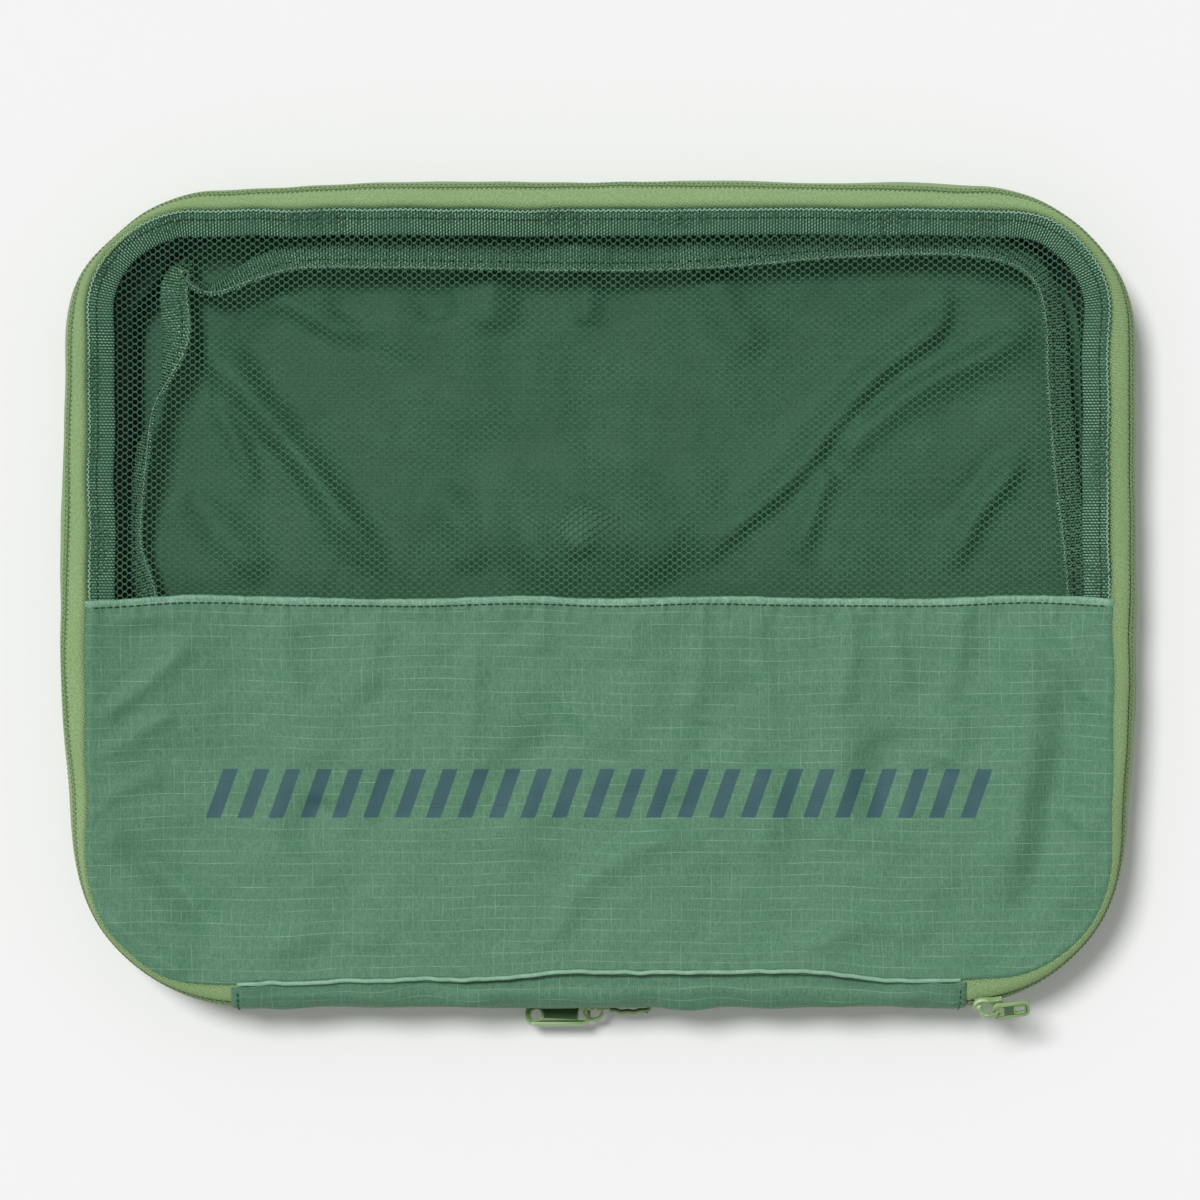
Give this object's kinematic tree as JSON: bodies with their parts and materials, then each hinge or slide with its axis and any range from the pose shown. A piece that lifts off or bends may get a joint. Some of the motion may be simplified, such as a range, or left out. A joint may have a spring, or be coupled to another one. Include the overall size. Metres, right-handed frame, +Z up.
{
  "type": "packing cube",
  "caption": "Zipped soft packing cube with a half mesh, half ripstop lid and a compression zip round its side wall; holds folded clothes in luggage.",
  "frame": {"origin": "centre of the back panel's underside, where the cube rests", "axes": "+X along the length, +Y from the hinged front edge to the rear, +Z up through the lid"},
  "size_m": [0.3782, 0.2963, 0.0299],
  "materials": {
    "ripstop": "woven ripstop, matt with a light sheen",
    "mesh": "open hexagonal warp-knit net",
    "zip_tape": "fine twill, matt",
    "zip_coil": "moulded monofilament",
    "binding": "ribbed grosgrain tape",
    "painted_metal": "glossy paint on a cast slider"
  },
  "bodies": {
    "base": {"back_panel": "ripstop", "back_seam_binding": "binding", "expansion_gusset": "ripstop", "compression_zip_lower_tape": "zip_tape", "compression_zip_lower_coil": "zip_coil", "compression_tape_tab": "zip_tape"},
    "middle": {"compression_zip_upper_tape": "zip_tape", "compression_zip_upper_coil": "zip_coil", "main_zip_lower_tape": "zip_tape", "main_zip_lower_coil": "zip_coil", "main_zip_right_end": "zip_tape", "main_zip_left_end": "zip_tape", "hinge_panel_lower": "ripstop"},
    "lid": {"lid_panel": "ripstop", "mesh_window": "mesh", "lid_seam_binding": "binding", "main_zip_upper_tape": "zip_tape", "main_zip_upper_coil": "zip_coil", "hinge_panel_upper": "ripstop"},
    "main_slider": {"main_slider": "painted_metal"},
    "main_pull": {"main_pull": "painted_metal"},
    "compression_slider": {"compression_slider": "painted_metal"},
    "compression_pull": {"compression_pull": "painted_metal"}
  },
  "joints": [
    {"name": "expansion", "type": "slide", "parent": "base", "child": "middle", "axis": [0, 0, 1], "range_m": [0, 0.045], "deforming": ["expansion_gusset"]},
    {"name": "lid_hinge", "type": "hinge", "parent": "middle", "child": "lid", "pos_m": [0, -0.14351, 0.02475], "axis": [1, 0, 0], "range_deg": [0, 180]},
    {"name": "main_slider_travel", "type": "hinge", "parent": "middle", "child": "main_slider", "pos_m": [0.129, -0.085, 0.0245], "axis": [0, 0, 1], "range_deg": [0, 77]},
    {"name": "main_pull_swing", "type": "hinge", "parent": "main_slider", "child": "main_pull", "pos_m": [0.13807, -0.14574, 0.02708], "axis": [0.0766, -0.624, -0.7777], "range_deg": [0, 150]},
    {"name": "compression_slider_travel", "type": "slide", "parent": "base", "child": "compression_slider", "axis": [-1, 0, 0], "range_m": [0, 0.11]},
    {"name": "compression_pull_swing", "type": "hinge", "parent": "compression_slider", "child": "compression_pull", "pos_m": [-0.0036, -0.14862, 0.00822], "axis": [0, 0.1904, 0.9817], "range_deg": [0, 150]}
  ]
}
